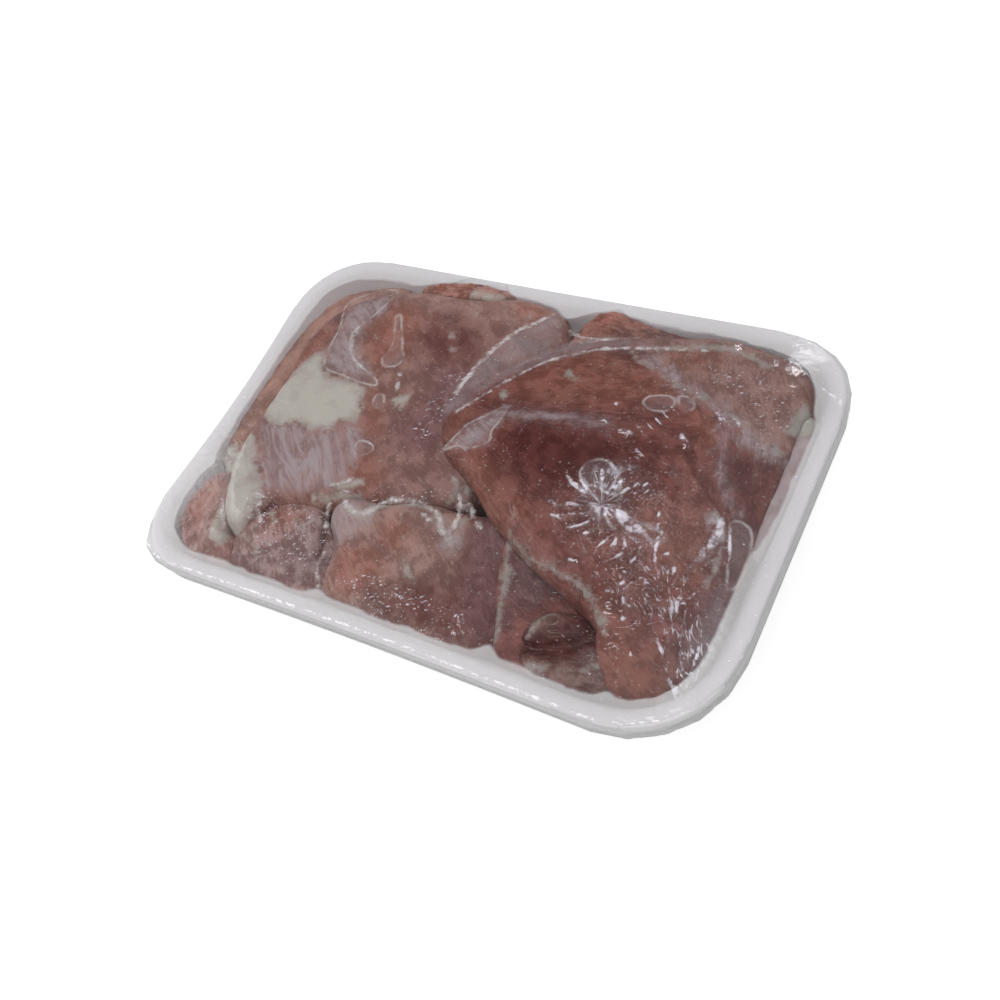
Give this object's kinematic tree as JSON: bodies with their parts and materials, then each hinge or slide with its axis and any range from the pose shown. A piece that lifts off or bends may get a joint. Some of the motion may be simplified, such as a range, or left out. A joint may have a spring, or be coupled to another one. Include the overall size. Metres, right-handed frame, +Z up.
{
  "type": "film-wrapped foam tray of raw pork steaks",
  "caption": "Shallow white foam tray filled with overlapping raw pork steaks and trimmings, sealed under tight clear stretch film",
  "frame": {"origin": "under the middle of the pack, on the surface it lies on", "axes": "+X along the tray's long side, +Y towards the long side behind the steaks, +Z up out of the tray"},
  "size_m": [0.212, 0.1424, 0.0363],
  "materials": {
    "foam": "fine-celled white polystyrene foam, faintly pebbled",
    "stretch_film": "clear glossy cling film, tight, with fine wrinkles",
    "pork_dark": "moist dark mauve-brown muscle with fine grain and pale seams",
    "pork_pale": "moist pinkish-brown muscle with silver skin and cream fat",
    "pork_trim": "moist uneven trimmings with fat streaks",
    "pork_fat": "firm greyish cream fat"
  },
  "bodies": {
    "root": {"tray": "foam", "film": "stretch_film", "steak_top": "pork_dark", "steak_left": "pork_pale", "steak_left_under": "pork_pale", "steak_front": "pork_dark", "flap_front": "pork_dark", "fold_front": "pork_trim", "chunk_front": "pork_trim", "chunk_corner": "pork_trim", "trim_back_left": "pork_trim", "trim_back_right": "pork_trim", "fat_right": "pork_fat"}
  },
  "joints": []
}
